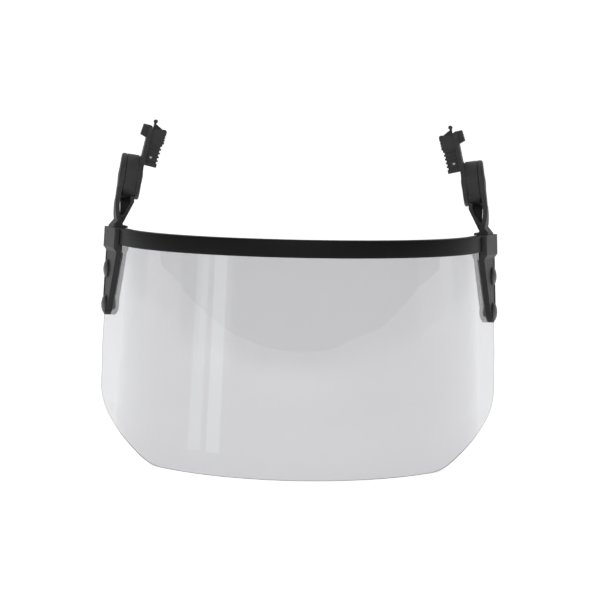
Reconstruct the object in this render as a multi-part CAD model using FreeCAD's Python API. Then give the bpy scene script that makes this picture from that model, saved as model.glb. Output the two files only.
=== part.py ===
import FreeCAD, Part
import math
import os

# Face shield for a slotted safety helmet: a clear wrap-round lens in a brow bar, a riveted
# bracket on each side, and an arm on each bracket that carries a turning slot clip.
# Frame: millimetres, +Z up, front of the shield towards -Y, the wearer's left at +X.
# The origin is under the middle of the whole shield, with the lens's bottom edge at z = 0.
# While it is built, x = y = 0 is the axis of the lens's round front; the end moves it back.

V = FreeCAD.Vector

# ---- driving dimensions: lens ----
LENS_HEIGHT = 163.9            # bottom edge to top edge, along the middle
LENS_RADIUS = 138.0            # outer radius of the round front at the height of the brow bar
LENS_THICKNESS = 1.5
LENS_ARC_HALF_ANGLE = 70.0     # degrees of round front on each side of the middle
LENS_SIDE_RUN = 59.5           # flat run behind the round front, on each side
LENS_FLARE = 3.0               # degrees that the wall leans out towards the bottom
LENS_TRIM_HEIGHT = 74.0         # below this the rear edges are trimmed upright
CORNER_TOP = 43.0              # height at which a lower corner starts to turn in
CORNER_SLOPE = 31.0            # degrees of the sloping stretch of a lower corner
CORNER_REACH = 57.5            # width of a lower corner, in from the side edge
CORNER_FOOT_RADIUS = 32.0

# ---- driving dimensions: brow bar ----
BAR_HEIGHT = 12.4
BAR_WALL = 3.0
BAR_EDGE_ROUND = 0.8
BAR_END_GAP = 0.3              # between an end of the bar and its side bracket
SLOT_CLEARANCE = 0.1           # lens in the bar's slot and in the brackets' slots

# ---- driving dimensions: side brackets ----
BRACKET_RUN = 48.4             # rear end of the bracket behind the round front
BLOCK_LENGTH = 36.0
BLOCK_HEIGHT = 15.0
BLOCK_RISE = 6.0               # top of the block above the middle of the bar
BLOCK_PROUD = 6.6              # outer face of the block above the lens
BLOCK_INNER_WALL = 2.4
STEP_HEIGHT = 3.0              # slope between the block's face and the leg's face
LEG_PROUD = 4.2
LEG_FOOT_RADIUS = 8.2
LEG_REAR_SLOPE = 0.35          # rise of the leg's foot towards its rear corner
BLOCK_ROUND = 1.2
STRIP_THICKNESS = 1.5
STRIP_INSET = 3.4
STRIP_TOP_DROP = 9.0           # top of the backing strip below the middle of the bar
RIM_WIDTH = 1.3                # raised rim round the face of the leg
RIM_PROUD = 0.5

# ---- driving dimensions: snap rivets ----
RIVET_REAR_OFFSET = 7.4        # rivet line in front of the bracket's rear end
UPPER_RIVET_DROP = 26.4        # below the middle of the bar
LOWER_RIVET_DROP = 53.9
RIVET_HEAD_RADIUS = 6.6
RIVET_RIM_HEIGHT = 1.0         # straight rim under the dome of the head
RIVET_DOME_HEIGHT = 1.5
RIVET_SHANK_RADIUS = 2.5
RIVET_HOLE_CLEARANCE = 0.1
RIVET_CAP_RADIUS = 4.2
RIVET_CAP_HEIGHT = 1.8
RIVET_CAP_SKIN = 0.6

# ---- driving dimensions: arm foot and neck, measured in the bracket's own plane ----
FOOT_CENTRE = 16.4             # in front of the bracket's rear end
FOOT_LENGTH = 20.0
FOOT_PLATE = 1.8
FOOT_OUTER = 5.2               # outer edge of the foot plate above the lens
FOOT_INNER = 6.6               # inner edge of the foot plate inside the lens
TONGUE_LENGTH = 14.0
TONGUE_THICKNESS = 3.0
TONGUE_DEPTH = 10.0
TONGUE_CLEARANCE = 0.15
NECK_THICKNESS = 3.2
NECK_WIDTH = 16.0
NECK_OFFSET = 1.4              # middle of the neck inside the lens's outer face
BUTTRESS_HEIGHT = 8.0
FOOT_OUTER_ROUND = 2.0
FOOT_EDGE_STEP = 0.6           # buttress and slope stand back from an edge by this

# ---- driving dimensions: arm and pivot ----
PIVOT_RISE = 46.2              # pivot centre above the middle of the bar
PIVOT_BACK = -8.0              # pivot centre, front to back
PIVOT_HALF_SPAN = 140.7        # outer face of the arm's disc, from the middle of the shield
PIVOT_YAW = 8.0                # degrees that the arm's face turns to the front
PIVOT_LEAN = 8.0               # degrees that the arm's face leans in at the top
DISC_RADIUS = 17.1
DISC_THICKNESS = 4.0
DISC_ROUND = 1.7
PLATE_THICKNESS = 3.5
PLATE_TOP_DROP = 9.2           # top of the plate, behind the disc, below the pivot centre
PLATE_TOP_WIDTH = 28.5
SHOULDER_SHARE = 0.55          # height of the plate's shoulder between its foot and the disc
STRUT_THICKNESS = 2.8
STRUT_WIDTH = 17.0
STRUT_REACH = 11.6             # inner face of the strut inside the arm's face
STRUT_KNEE_DROP = 20.8         # knee of the strut below the pivot centre
STRUT_TOE_REACH = 3.2          # inner face of the strut's toe inside the arm's face
STRUT_TOE_GAP = 1.5            # toe above the foot plate
STRUT_TOP_DROP = 8.4
STRUT_FORWARD = 1.5            # middle of the strut in front of the pivot centre
WEB_THICKNESS = 2.0
WEB_SETBACK = 1.0              # web in front of the strut's rear edge
WEB_OUTER = 1.25               # outer edge of the web inside the arm's face
DRUM_LENGTH = 13.0
DRUM_WALL = 2.2
DRUM_FLOOR = 2.7
DRUM_ROUND = 1.4
DRUM_RIM_ROUND = 0.6           # at the arm's disc
DRUM_GROOVE = 0.8
DRUM_GROOVE_WIDTH = 0.9
DRUM_GROOVE_OFFSET = 1.8       # groove from the rounded inner end
HUB_SETBACK = 0.5              # of the hub from the drum's inner end
BODY_GAP = 0.3                 # between pieces that turn against each other
DRUM_CUT_GAP = 0.6             # arm round the outside of the drum
JOURNAL_RADIUS = 6.0
JOURNAL_FIT = 0.05             # radial running clearance
HUB_RADIUS = 8.3
SCREW_RADIUS = 2.0
SCREW_HEAD_RADIUS = 3.9
SCREW_HEAD_HEIGHT = 1.8
SCREW_SOCKET_ACROSS = 2.5
SCREW_SOCKET_DEPTH = 1.1
SCREW_HEAD_ROUND = 0.5
SCREW_END_GAP = 0.3            # end of the screw below the cap
WASHER_RADIUS = 8.0
WASHER_THICKNESS = 1.0
WASHER_POCKET = 2.2
NUT_ACROSS_FLATS = 7.0
NUT_THICKNESS = 2.9
CAP_RADIUS = 7.4
CAP_SEAT = 1.2
CAP_CROWN = 0.7
SEAT_CLEARANCE = 0.1

# ---- driving dimensions: detent between arm and drum ----
DETENT_RING_GAP = 0.6          # ring to the drum's wall, and to the hub's line
DETENT_RING_THICKNESS = 2.0
DETENT_COUNT = 24
DETENT_DIMPLE_DEPTH = 0.7
DETENT_DIMPLE_RADIUS = 1.7
BALL_RADIUS = 2.0
POCKET_ABOVE_BALL = 0.8        # top of the pocket above the ball's centre
POCKET_WALL = 1.4
POCKET_CLEARANCE = 0.1
DETENT_WIRE = 0.3
DETENT_TURNS = 5

# ---- driving dimensions: slot clip ----
CLIP_LEAN = 5.0                # degrees that the blade leans in, more than the drum
BLADE_BEND_RISE = 9.0          # bend of the blade above the pivot centre
BLADE_THICKNESS = 3.0
BLADE_WIDTH = 26.0
BLADE_TOP = 40.0               # above the pivot centre
CATCH_BOTTOM = 31.1
CATCH_TOP = 41.0
CATCH_PROUD = 4.8
CATCH_WIDTH = 16.0
CATCH_SLOPE = 1.6
CATCH_TAPER = 0.7              # outer face leans in by this at the top
BLADE_CORNER = 4.0             # cut off each top corner of the blade
GRIP_BOTTOM = 10.2
GRIP_STEP = 29.0
GRIP_TOP = 38.6                # at the blade
GRIP_TOP_RISE = 1.6            # inner edge of the top above its edge at the blade
GRIP_CORNER = 1.2
GRIP_DEPTH = 11.0
GRIP_WIDTH = 22.0
GRIP_WALL = 1.6
GRIP_STEP_DEPTH = 0.9
GRIP_TAPER = 0.8
GRIP_SIDE_STEP = 0.6           # lower part narrower than the top on each side
RIB_PITCH = 3.0
RIB_DEPTH = 0.9
TOP_RIB_PITCH = 2.0            # fine grooves on the inner face above the step
TOP_RIB_DEPTH = 0.5
RIB_COVER = 1.0                # grooves stop this short of the blade
MOUTH_CLEARANCE = 1.2          # beside the latch
MOUTH_DEPTH = 9.2
LATCH_WIDTH = 9.0
LATCH_THICKNESS = 2.6
LATCH_SETBACK = 0.6            # from the blade's inner face
LATCH_TIP = 46.3
LATCH_PIVOT_RISE = 17.2
LATCH_PIVOT_DEPTH = 3.6
LATCH_EYE_RADIUS = 2.6
LATCH_KNOB_RADIUS = 1.5
LATCH_KNOB_DEPTH = 1.3         # middle of the knob inside the blade's inner face
LATCH_NECK_THICKNESS = 1.6
LATCH_SHOULDER_REACH = 7.2     # thumb shoulder inside the blade's inner face
LATCH_SHOULDER_RISE = 40.2     # inner end of the shoulder above the pivot centre
LATCH_SHOULDER_DROP = 1.8
PIN_RADIUS = 1.0
PIN_FIT = 0.04
PIN_HOLE_COVER = 1.1           # nylon left over each end of the pin, from the grip's widest part
PIN_END_GAP = 0.1
TORSION_WIRE = 0.3
TORSION_RADIUS = 1.6
TORSION_TURNS = 3
TORSION_SPACING = 1.15         # pitch of the turns over the wire's thickness

# ---- sizes that follow from the above ----
BAR_TOP = LENS_HEIGHT + SLOT_CLEARANCE + BAR_WALL
BAR_MIDDLE = BAR_TOP - BAR_HEIGHT / 2
ARC_END = math.radians(LENS_ARC_HALF_ANGLE)
TRIM_RADIUS = LENS_RADIUS + (BAR_MIDDLE - LENS_TRIM_HEIGHT) * math.tan(math.radians(LENS_FLARE))
LENS_SIDE_LIMIT = TRIM_RADIUS * math.sin(ARC_END) + LENS_SIDE_RUN * math.cos(ARC_END)
CORNER_FOOT = LENS_SIDE_LIMIT - CORNER_REACH
LENS_TOP_RISE = LENS_HEIGHT - BAR_MIDDLE
DRUM_OUTER_Z = -DISC_THICKNESS - BODY_GAP
DRUM_INNER_Z = DRUM_OUTER_Z - DRUM_LENGTH
POCKET_FLOOR_Z = DRUM_INNER_Z + WASHER_POCKET
JOURNAL_END_Z = POCKET_FLOOR_Z - BODY_GAP
DETENT_RADIUS = (HUB_RADIUS + DISC_RADIUS - DRUM_WALL) / 2
DETENT_RING_HALF_WIDTH = (DISC_RADIUS - DRUM_WALL - HUB_RADIUS) / 2 - DETENT_RING_GAP


def unit(angle):
    """Plan direction at an angle from straight ahead, turning towards +X."""
    return V(math.sin(math.radians(angle)), -math.cos(math.radians(angle)), 0)


def plan_point(angle, offset, run, z):
    """Point on the lens's plan line, moved out by offset, at a height."""
    swing = max(-LENS_ARC_HALF_ANGLE, min(LENS_ARC_HALF_ANGLE, angle))
    flare = (BAR_MIDDLE - z) * math.tan(math.radians(LENS_FLARE))
    point = unit(swing) * (LENS_RADIUS + flare + offset)
    rearward = V(math.cos(math.radians(swing)), math.sin(math.radians(swing)), 0)
    side = 1 if swing > 0 else -1
    return point + rearward * (run * side) + V(0, 0, z)


def band_wire(z, outer, inner, run):
    """Closed plan outline of a band that follows the lens, from inner to outer offset."""
    edge = LENS_ARC_HALF_ANGLE
    corners = []
    for offset in (outer, inner):
        corners.append([plan_point(-edge, offset, run, z), plan_point(-edge, offset, 0, z),
                        plan_point(0, offset, 0, z),
                        plan_point(edge, offset, 0, z), plan_point(edge, offset, run, z)])
    out, inn = corners
    return Part.Wire([
        Part.LineSegment(out[0], out[1]).toShape(),
        Part.Arc(out[1], out[2], out[3]).toShape(),
        Part.LineSegment(out[3], out[4]).toShape(),
        Part.LineSegment(out[4], inn[4]).toShape(),
        Part.LineSegment(inn[4], inn[3]).toShape(),
        Part.Arc(inn[3], inn[2], inn[1]).toShape(),
        Part.LineSegment(inn[1], inn[0]).toShape(),
        Part.LineSegment(inn[0], out[0]).toShape()])


def band(z_low, z_high, outer, inner, run):
    """Solid band that follows the lens's round front and flat sides and leans with its flare."""
    wires = [band_wire(z_low, outer, inner, run), band_wire(z_high, outer, inner, run)]
    return Part.makeLoft(wires, True, True)


def frame(origin, rearward, upward):
    """Placement whose local x is rearward, y is upward and z is outward."""
    outward = rearward.cross(upward)
    return FreeCAD.Placement(FreeCAD.Matrix(
        rearward.x, upward.x, outward.x, origin.x,
        rearward.y, upward.y, outward.y, origin.y,
        rearward.z, upward.z, outward.z, origin.z,
        0, 0, 0, 1))


def tilted_axes(yaw, lean):
    """Rearward and upward directions of a side face that turns to the front and leans in."""
    turn, tip = math.radians(yaw), math.radians(lean)
    rearward = V(math.sin(turn), math.cos(turn), 0)
    outward = V(math.cos(turn) * math.cos(tip), -math.sin(turn) * math.cos(tip), math.sin(tip))
    return rearward, outward.cross(rearward)


def place(shape, placement):
    """Copy of a shape built in a side frame, put where that frame is."""
    placed = shape.copy()
    placed.Placement = placement.multiply(placed.Placement)
    return placed


BRACKET_FRAME = frame(plan_point(LENS_ARC_HALF_ANGLE, 0, BRACKET_RUN, BAR_MIDDLE),
                      *tilted_axes(90 - LENS_ARC_HALF_ANGLE, LENS_FLARE))
PIVOT_FRAME = frame(V(PIVOT_HALF_SPAN, PIVOT_BACK, BAR_MIDDLE + PIVOT_RISE),
                    *tilted_axes(PIVOT_YAW, PIVOT_LEAN))
UPRIGHT_FRAME = frame(V(PIVOT_HALF_SPAN, PIVOT_BACK, BAR_MIDDLE + PIVOT_RISE),
                      *tilted_axes(PIVOT_YAW, 0))
BLADE_FRAME = PIVOT_FRAME.multiply(FreeCAD.Placement(
    V(0, BLADE_BEND_RISE, DRUM_INNER_Z), FreeCAD.Rotation(V(1, 0, 0), -CLIP_LEAN)))


def box(x, y, z):
    """Box between two values on each local axis."""
    return Part.makeBox(x[1] - x[0], y[1] - y[0], z[1] - z[0], V(x[0], y[0], z[0]))


def rod(radius, z_low, z_high, x=0.0, y=0.0):
    """Cylinder along local z."""
    return Part.makeCylinder(radius, z_high - z_low, V(x, y, z_low))


def slab(points, low, high):
    """Prism of a closed outline in the local xy plane, between two local z values."""
    outline = Part.makePolygon([V(x, y, low) for x, y in points + points[:1]])
    return Part.Face(outline).extrude(V(0, 0, high - low))


def side_slab(points, low, high):
    """Prism of a closed outline given as (z, y) pairs, between two local x values."""
    outline = Part.makePolygon([V(low, y, z) for z, y in points + points[:1]])
    return Part.Face(outline).extrude(V(high - low, 0, 0))


def round_vertical_edges(shape, radius, direction):
    """Fillets on every straight edge that runs along one local direction."""
    edges = []
    for edge in shape.Edges:
        run = edge.Vertexes[-1].Point.sub(edge.Vertexes[0].Point)
        if run.Length > radius and run.cross(direction).Length < 1e-4 * run.Length:
            edges.append(edge)
    return shape.makeFillet(radius, edges)


def round_rim(shape, radius, height):
    """Fillets on the circular edges at one local z."""
    edges = [edge for edge in shape.Edges
             if abs(edge.BoundBox.ZMin - height) < 1e-4 and abs(edge.BoundBox.ZMax - height) < 1e-4]
    return shape.makeFillet(radius, edges)


def hexagon(across, z_low, z_high):
    """Hexagonal prism along local z, by its width across flats."""
    reach = across / math.sqrt(3)
    points = [(reach * math.cos(math.radians(60 * i)), reach * math.sin(math.radians(60 * i)))
              for i in range(6)]
    return slab(points, z_low, z_high)


def coil(radius, wire, turns, length):
    """Round wire wound along local z, from z = 0 to the length between wire centres."""
    helix = Part.makeHelix(length / turns, length, radius)
    ring = Part.Wire(Part.makeCircle(wire, V(radius, 0, 0), V(0, 1, 0)))
    return Part.Wire(helix).makePipeShell([ring], True, True)


# ---- lens ----
def corner_profile():
    """Front outline of the lens: flat bottom, sloping corners with round ends, straight sides."""
    slope = math.radians(CORNER_SLOPE)
    foot_turn = CORNER_FOOT_RADIUS * math.tan(slope / 2)
    foot = V(CORNER_FOOT + foot_turn, 0, 0)
    along = V(math.cos(slope), 0, math.sin(slope))
    knee_height = (LENS_SIDE_LIMIT - foot.x) * math.tan(slope)
    knee_turn = CORNER_TOP - knee_height
    knee_radius = knee_turn / math.tan((math.pi / 2 - slope) / 2)
    knee = V(LENS_SIDE_LIMIT, 0, knee_height)
    foot_mid = V(CORNER_FOOT + CORNER_FOOT_RADIUS * math.sin(slope / 2), 0,
                 CORNER_FOOT_RADIUS * (1 - math.cos(slope / 2)))
    knee_centre = V(LENS_SIDE_LIMIT - knee_radius, 0, CORNER_TOP)
    knee_angle = (math.pi / 2 - slope) / 2
    knee_mid = knee_centre + V(math.cos(knee_angle), 0, -math.sin(knee_angle)) * knee_radius
    points = [V(CORNER_FOOT, 0, 0), foot_mid, foot + along * foot_turn,
              knee - along * knee_turn, knee_mid, V(LENS_SIDE_LIMIT, 0, CORNER_TOP)]
    edges = []
    for side in (1, -1):
        p = [V(q.x * side, q.y, q.z) for q in points]
        edges += [Part.Arc(p[0], p[1], p[2]).toShape(), Part.LineSegment(p[2], p[3]).toShape(),
                  Part.Arc(p[3], p[4], p[5]).toShape(),
                  Part.LineSegment(p[5], V(p[5].x, 0, LENS_HEIGHT)).toShape()]
    edges.append(Part.LineSegment(V(-CORNER_FOOT, 0, 0), V(CORNER_FOOT, 0, 0)).toShape())
    edges.append(Part.LineSegment(V(-LENS_SIDE_LIMIT, 0, LENS_HEIGHT),
                                  V(LENS_SIDE_LIMIT, 0, LENS_HEIGHT)).toShape())
    return Part.Wire(Part.__sortEdges__(edges))


def make_lens():
    shell = band(0, LENS_HEIGHT, 0, -LENS_THICKNESS, LENS_SIDE_RUN)
    reach = 2 * LENS_RADIUS
    outline = corner_profile()
    outline.translate(V(0, -reach, 0))
    lens = shell.common(Part.Face(outline).extrude(V(0, 2 * reach, 0)))
    for drop in (UPPER_RIVET_DROP, LOWER_RIVET_DROP):
        hole = rod(RIVET_SHANK_RADIUS + RIVET_HOLE_CLEARANCE, -2 * LENS_THICKNESS, LENS_THICKNESS,
                   -RIVET_REAR_OFFSET, -drop)
        hole = place(hole, BRACKET_FRAME)
        lens = lens.cut([hole, hole.mirror(V(0, 0, 0), V(1, 0, 0))])
    return lens


# ---- brow bar ----
def make_brow_bar():
    run = BRACKET_RUN - BLOCK_LENGTH - BAR_END_GAP
    bottom = BAR_TOP - BAR_HEIGHT
    outer = BAR_WALL + SLOT_CLEARANCE
    inner = -LENS_THICKNESS - SLOT_CLEARANCE - BAR_WALL
    bar = band(bottom, BAR_TOP, outer, inner, run)
    edges = []
    for edge in bar.Edges:
        level = edge.BoundBox.ZMax - edge.BoundBox.ZMin < 1e-4
        if level and edge.Length > BAR_HEIGHT / 2:
            edges.append(edge)
    bar = bar.makeFillet(BAR_EDGE_ROUND, edges)
    slot = band(bottom - 1, BAR_TOP - BAR_WALL, SLOT_CLEARANCE,
                -LENS_THICKNESS - SLOT_CLEARANCE, run + BAR_WALL)
    return bar.cut(slot)


# ---- side bracket, in the bracket frame ----
def leg_outline(inset):
    """Leg from the block's underside to its round foot, as a wire drawn in from the edges."""
    radius = LEG_FOOT_RADIUS - inset
    centre = V(-RIVET_REAR_OFFSET, -LOWER_RIVET_DROP, 0)
    rear_x = -inset
    top_y = BLOCK_RISE - BLOCK_HEIGHT - inset
    corner = V(inset - BLOCK_LENGTH, top_y, 0)
    span = corner.sub(centre)
    front_angle = math.atan2(span.y, span.x) + math.acos(radius / span.Length)
    middle_angle = (front_angle + 3 * math.pi / 2) / 2
    touch = centre + V(math.cos(front_angle), math.sin(front_angle), 0) * radius
    arc_middle = centre + V(math.cos(middle_angle), math.sin(middle_angle), 0) * radius
    foot = centre - V(0, radius, 0)
    rear_corner = foot + V(rear_x - foot.x, (rear_x - foot.x) * LEG_REAR_SLOPE, 0)
    rear_top = V(rear_x, top_y, 0)
    return Part.Wire([
        Part.LineSegment(rear_top, corner).toShape(),
        Part.LineSegment(corner, touch).toShape(),
        Part.Arc(touch, arc_middle, foot).toShape(),
        Part.LineSegment(foot, rear_corner).toShape(),
        Part.LineSegment(rear_corner, rear_top).toShape()])


def wire_slab(wire, low, high):
    """Prism of a wire that lies in the local xy plane."""
    face = Part.Face(wire)
    face.translate(V(0, 0, low))
    return face.extrude(V(0, 0, high - low))


def rivet_holes(low, high, radius):
    return [rod(radius, low, high, -RIVET_REAR_OFFSET, -drop)
            for drop in (UPPER_RIVET_DROP, LOWER_RIVET_DROP)]


def make_side_bracket():
    front, rear = -BLOCK_LENGTH, 0
    block_bottom = BLOCK_RISE - BLOCK_HEIGHT
    inner = -LENS_THICKNESS - SLOT_CLEARANCE - BLOCK_INNER_WALL
    block = box((front, rear), (block_bottom, BLOCK_RISE), (0, BLOCK_PROUD))
    block = round_vertical_edges(block, BLOCK_ROUND, V(0, 1, 0))
    saddle = box((front, rear), (block_bottom + STEP_HEIGHT, BLOCK_RISE), (inner, FOOT_EDGE_STEP))
    slope = side_slab([(0, block_bottom), (BLOCK_PROUD, block_bottom),
                       (LEG_PROUD, block_bottom - STEP_HEIGHT), (0, block_bottom - STEP_HEIGHT)],
                      front + FOOT_EDGE_STEP, rear)
    leg = wire_slab(leg_outline(0), 0, LEG_PROUD)
    slope = slope.common(wire_slab(leg_outline(0), 0, BLOCK_PROUD))
    recess = wire_slab(leg_outline(RIM_WIDTH), LEG_PROUD - RIM_PROUD, LEG_PROUD + 1)
    recess = recess.cut(box((front - 1, rear + 1), (block_bottom - STEP_HEIGHT - RIM_WIDTH, 0),
                            (0, BLOCK_PROUD)))
    bosses = [rod(RIVET_HEAD_RADIUS + RIM_WIDTH / 2, 0, LEG_PROUD, -RIVET_REAR_OFFSET, -drop)
              for drop in (UPPER_RIVET_DROP, LOWER_RIVET_DROP)]
    bracket = leg.cut(recess).fuse([block, saddle, slope] + bosses)
    slot = box((front - 1, rear + 1),
               (block_bottom - BLOCK_HEIGHT, LENS_TOP_RISE + SLOT_CLEARANCE),
               (-LENS_THICKNESS - SLOT_CLEARANCE, 0))
    pocket = box((-FOOT_CENTRE - TONGUE_LENGTH / 2 - TONGUE_CLEARANCE,
                  -FOOT_CENTRE + TONGUE_LENGTH / 2 + TONGUE_CLEARANCE),
                 (BLOCK_RISE - TONGUE_DEPTH - TONGUE_CLEARANCE, BLOCK_RISE + 1),
                 (tongue_middle() - TONGUE_THICKNESS / 2 - TONGUE_CLEARANCE,
                  tongue_middle() + TONGUE_THICKNESS / 2 + TONGUE_CLEARANCE))
    holes = rivet_holes(-BLOCK_PROUD, BLOCK_PROUD, RIVET_SHANK_RADIUS + RIVET_HOLE_CLEARANCE)
    return bracket.cut([slot, pocket] + holes).removeSplitter()


def tongue_middle():
    """Middle of the arm's tongue, outside the lens, in the thick part of the block."""
    return BLOCK_PROUD / 2


def make_backing_strip():
    strip_low = -LENS_THICKNESS - STRIP_THICKNESS
    strip = wire_slab(leg_outline(STRIP_INSET), strip_low, -LENS_THICKNESS)
    strip = strip.cut(box((-2 * BLOCK_LENGTH, BLOCK_LENGTH), (-STRIP_TOP_DROP, BLOCK_HEIGHT),
                          (strip_low - 1, 0)))
    return strip.cut(rivet_holes(-BLOCK_PROUD, 0, RIVET_SHANK_RADIUS + RIVET_HOLE_CLEARANCE))


def make_rivet(drop):
    """Round shank with a head on the face of the leg: a straight rim under a low dome."""
    ball = (RIVET_HEAD_RADIUS ** 2 + RIVET_DOME_HEIGHT ** 2) / (2 * RIVET_DOME_HEIGHT)
    shank_end = -LENS_THICKNESS - STRIP_THICKNESS - RIVET_CAP_HEIGHT + RIVET_CAP_SKIN
    top = LEG_PROUD + RIVET_RIM_HEIGHT + RIVET_DOME_HEIGHT
    dome = Part.makeSphere(ball, V(0, 0, top - ball))
    head = dome.common(rod(RIVET_HEAD_RADIUS, LEG_PROUD, top + 1))
    rivet = head.fuse(rod(RIVET_SHANK_RADIUS, shank_end, LEG_PROUD)).removeSplitter()
    rivet.translate(V(-RIVET_REAR_OFFSET, -drop, 0))
    return rivet


def make_rivet_caps():
    """The two snap caps on the inner ends of the rivets."""
    high = -LENS_THICKNESS - STRIP_THICKNESS
    caps = []
    for drop in (UPPER_RIVET_DROP, LOWER_RIVET_DROP):
        cap = rod(RIVET_CAP_RADIUS, high - RIVET_CAP_HEIGHT, high)
        cap = round_rim(cap, RIVET_CAP_SKIN, high - RIVET_CAP_HEIGHT)
        cap = cap.cut(rod(RIVET_SHANK_RADIUS, high - RIVET_CAP_HEIGHT + RIVET_CAP_SKIN, high + 1))
        cap.translate(V(-RIVET_REAR_OFFSET, -drop, 0))
        caps.append(cap)
    return Part.Compound(caps)


# ---- arm ----
def level_rectangle(rise, face, back, yaw, width, thickness):
    """Level section of the arm's plate: its outer face, its middle, turn, width and thickness."""
    rearward, _ = tilted_axes(yaw, 0)
    inward = V(-rearward.y, rearward.x, 0)
    middle = V(face, back, BAR_MIDDLE + rise)
    corners = [middle + rearward * (width / 2), middle - rearward * (width / 2),
               middle - rearward * (width / 2) + inward * thickness,
               middle + rearward * (width / 2) + inward * thickness]
    return Part.makePolygon(corners + corners[:1])


def arm_face(rise):
    """Half-span of the leaning outer face of the arm at a height over the bar's middle."""
    return PIVOT_HALF_SPAN + (PIVOT_RISE - rise) * math.tan(math.radians(PIVOT_LEAN))


def make_arm_plate():
    foot = BRACKET_FRAME.multVec(V(-FOOT_CENTRE, BLOCK_RISE + FOOT_PLATE / 2,
                                   NECK_THICKNESS / 2 - NECK_OFFSET))
    foot_rise = foot.z - BAR_MIDDLE
    foot_yaw = 90 - LENS_ARC_HALF_ANGLE
    disc_bottom = PIVOT_RISE - DISC_RADIUS
    shoulder = foot_rise + SHOULDER_SHARE * (disc_bottom - foot_rise)
    sections = []
    for share, rise in ((0.0, foot_rise), (0.45, shoulder), (0.8, disc_bottom),
                        (1.0, PIVOT_RISE - PLATE_TOP_DROP)):
        bulge = 1 - (1 - share) ** 2
        face = foot.x + (arm_face(rise) - foot.x) * bulge
        back = foot.y + (PIVOT_BACK - foot.y) * share
        yaw = foot_yaw + (PIVOT_YAW - foot_yaw) * bulge
        width = NECK_WIDTH + (PLATE_TOP_WIDTH - NECK_WIDTH) * share ** 2
        thickness = NECK_THICKNESS + (PLATE_THICKNESS - NECK_THICKNESS) * share
        sections.append(level_rectangle(rise, face, back, yaw, width, thickness))
    return Part.makeLoft(sections, True, False)


def round_corners(plate, radius, depth):
    """Fillets on the plate's edges that run along local y at one local z."""
    edges = [edge for edge in plate.Edges
             if edge.BoundBox.YLength > FOOT_PLATE / 2
             and max(abs(edge.BoundBox.ZMin - depth), abs(edge.BoundBox.ZMax - depth)) < 1e-3]
    return plate.makeFillet(radius, edges)


def make_arm_foot():
    """Foot plate, tongue and buttress, in the bracket frame."""
    low, high = BLOCK_RISE, BLOCK_RISE + FOOT_PLATE
    plate = box((-FOOT_CENTRE - FOOT_LENGTH / 2, -FOOT_CENTRE + FOOT_LENGTH / 2), (low, high),
                (-FOOT_INNER, FOOT_OUTER))
    plate = round_corners(plate, FOOT_INNER - NECK_THICKNESS / 2, -FOOT_INNER)
    plate = round_corners(plate, FOOT_OUTER_ROUND, FOOT_OUTER)
    tongue = box((-FOOT_CENTRE - TONGUE_LENGTH / 2, -FOOT_CENTRE + TONGUE_LENGTH / 2),
                 (BLOCK_RISE - TONGUE_DEPTH, high),
                 (tongue_middle() - TONGUE_THICKNESS / 2, tongue_middle() + TONGUE_THICKNESS / 2))
    sunk = high - FOOT_PLATE / 2
    toe = FOOT_OUTER - FOOT_EDGE_STEP
    half = NECK_WIDTH / 2 - FOOT_EDGE_STEP
    buttress = side_slab([(toe, sunk), (toe, high + FOOT_EDGE_STEP),
                          (-NECK_OFFSET, high + BUTTRESS_HEIGHT), (-NECK_OFFSET, sunk)],
                         -FOOT_CENTRE - half, -FOOT_CENTRE + half)
    return place(plate.fuse([tongue, buttress]), BRACKET_FRAME)


def make_strut():
    """Strut and rear web inside the plate, in the upright frame through the pivot."""
    outer = STRUT_REACH - STRUT_THICKNESS
    toe_drop = PIVOT_RISE - BLOCK_RISE - FOOT_PLATE - STRUT_TOE_GAP
    front = -STRUT_WIDTH / 2 - STRUT_FORWARD
    rear = STRUT_WIDTH / 2 - STRUT_FORWARD
    strut = side_slab([(-STRUT_TOE_REACH, -toe_drop), (-STRUT_REACH, -STRUT_KNEE_DROP),
                       (-STRUT_REACH, -STRUT_TOP_DROP), (-outer, -STRUT_TOP_DROP),
                       (-outer, -STRUT_KNEE_DROP), (STRUT_THICKNESS - STRUT_TOE_REACH, -toe_drop)],
                      front, rear)
    inside = STRUT_REACH - STRUT_THICKNESS / 2
    web = side_slab([(-STRUT_TOE_REACH, -toe_drop), (-inside, -STRUT_KNEE_DROP),
                     (-inside, -STRUT_TOP_DROP), (-WEB_OUTER, -STRUT_TOP_DROP),
                     (-WEB_OUTER, -toe_drop)],
                    rear - WEB_SETBACK - WEB_THICKNESS, rear - WEB_SETBACK)
    return place(strut.fuse(web), UPRIGHT_FRAME)


def make_pivot_arm():
    disc = round_rim(rod(DISC_RADIUS, -DISC_THICKNESS, 0), DISC_ROUND, 0)
    journal = rod(JOURNAL_RADIUS, JOURNAL_END_Z, -DISC_THICKNESS)
    drum_room = rod(DISC_RADIUS + DRUM_CUT_GAP, DRUM_INNER_Z - 3 * DISC_RADIUS, -DISC_THICKNESS)
    reach = 2 * DISC_RADIUS
    outside = box((-reach, reach), (-DISC_RADIUS - DISC_ROUND, reach), (0, DISC_RADIUS))
    arm = make_arm_plate().fuse([make_arm_foot(), make_strut()])
    arm = arm.cut([place(drum_room, PIVOT_FRAME), place(outside, PIVOT_FRAME)])
    arm = arm.fuse([place(disc, PIVOT_FRAME), place(journal, PIVOT_FRAME)])
    seat = rod(CAP_RADIUS + SEAT_CLEARANCE, -CAP_SEAT, DISC_THICKNESS)
    nut_low = -CAP_SEAT - NUT_THICKNESS - SEAT_CLEARANCE
    pocket = hexagon(NUT_ACROSS_FLATS + 2 * SEAT_CLEARANCE, nut_low, 0)
    bore = rod(SCREW_RADIUS + SEAT_CLEARANCE, JOURNAL_END_Z - 1, 0)
    return arm.cut([place(hole, PIVOT_FRAME) for hole in (seat, pocket, bore)])


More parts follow.
